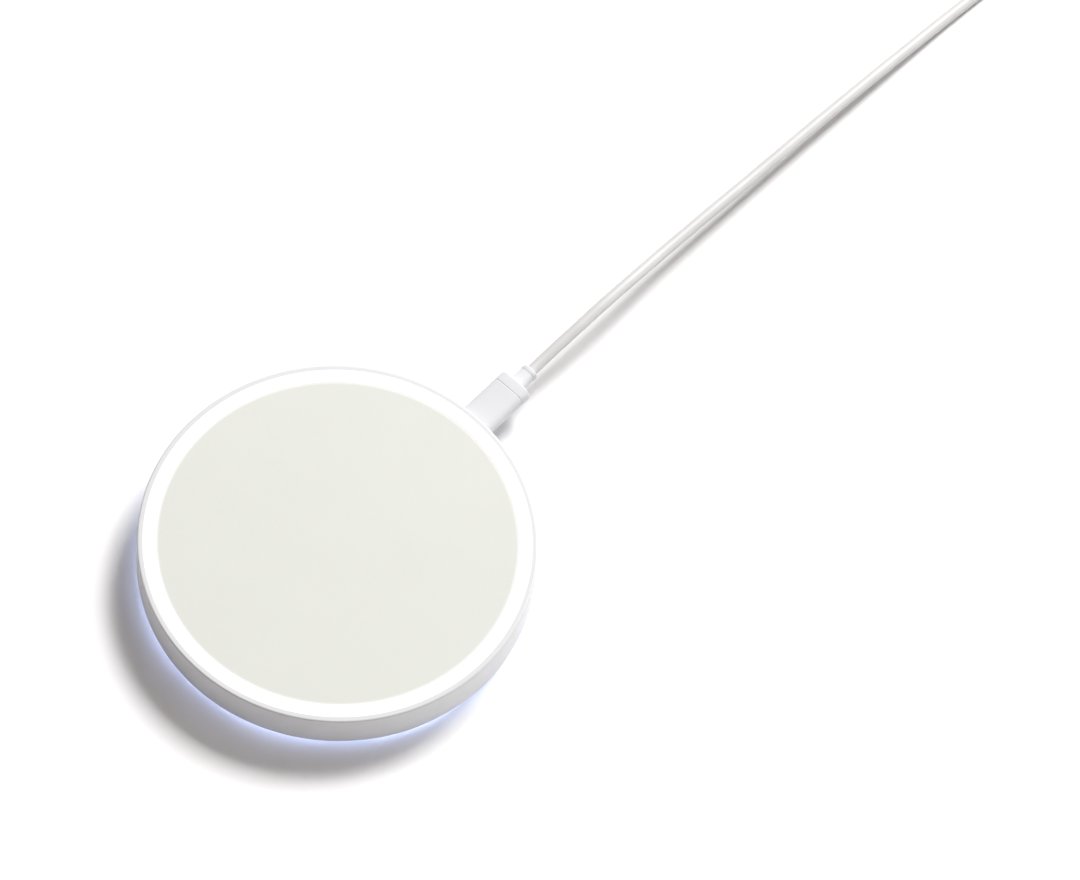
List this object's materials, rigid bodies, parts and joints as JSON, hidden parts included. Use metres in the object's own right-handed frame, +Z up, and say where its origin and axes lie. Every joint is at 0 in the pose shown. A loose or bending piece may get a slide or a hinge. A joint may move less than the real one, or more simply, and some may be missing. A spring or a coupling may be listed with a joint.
{
  "type": "wireless charging pad",
  "caption": "Round low charging pad with an inlaid top disc in a white bezel ring, a light ring under its edge, and a plug-in cable coiled at its far end.",
  "frame": {"origin": "centre of the pad's underside, on the surface that its foot ring stands on", "axes": "+Z up through the charging disc, +Y from the centre towards the cable's socket, +X to the right of the cable"},
  "size_m": [0.1535, 0.3508, 0.0125],
  "materials": {
    "case_white": "satin moulded",
    "trim_white": "bright white, polished",
    "disc_coat": "fine soft-touch",
    "adhesive_film": "film",
    "screw_steel": "zinc plated",
    "foot_silicone": "matt silicone",
    "light_guide": "frosted translucent",
    "board_laminate": "solder mask",
    "litz_copper": "enamelled copper litz",
    "ferrite": "sintered ferrite",
    "shield_aluminium": "rolled",
    "chip_black": "moulded epoxy",
    "thermal_silicone": "soft pad",
    "inductor_core": "pressed iron powder",
    "capacitor_ceramic": "ceramic",
    "led_package": "white package",
    "connector_steel": "nickel plated stamped",
    "connector_black": "moulded",
    "connector_white": "moulded",
    "contact_gold": "gold plated",
    "grip_white": "satin moulded",
    "cable_white": "glossy thermoplastic elastomer",
    "tie_strap": "hook and loop strap"
  },
  "bodies": {
    "pad": {"upper_housing": "case_white", "bezel_ring": "trim_white", "base_plate": "case_white", "charging_disc": "disc_coat", "disc_adhesive": "adhesive_film", "coil_adhesive": "adhesive_film", "base_screws": "screw_steel", "board_screws": "screw_steel", "foot_ring": "foot_silicone", "light_guide_ring": "light_guide", "circuit_board": "board_laminate", "transmit_coil": "litz_copper", "coil_leads": "litz_copper", "ferrite_disc": "ferrite", "shield_plate": "shield_aluminium", "controller_chip": "chip_black", "switch_transistors": "chip_black", "chip_resistors": "chip_black", "thermistor": "chip_black", "thermal_pad": "thermal_silicone", "power_inductor": "inductor_core", "resonant_capacitors": "capacitor_ceramic", "ring_leds": "led_package", "usb_socket_shell": "connector_steel", "usb_socket_insulator": "connector_black", "usb_socket_contacts": "contact_gold"},
    "cable": {"plug_shell": "connector_steel", "plug_insulator": "connector_black", "plug_contacts": "contact_gold", "plug_overmould": "grip_white", "plug_strain_relief": "grip_white", "cord": "cable_white", "cord_coil": "cable_white", "cord_tail": "cable_white", "cable_tie": "tie_strap", "far_strain_relief": "grip_white", "far_plug_overmould": "grip_white", "far_plug_shell": "connector_steel", "far_plug_insulator": "connector_white", "far_plug_contacts": "contact_gold"}
  },
  "joints": [
    {"name": "plug_pull", "type": "slide", "parent": "pad", "child": "cable", "axis": [0, 1, 0], "range_m": [0, 0.008]}
  ]
}
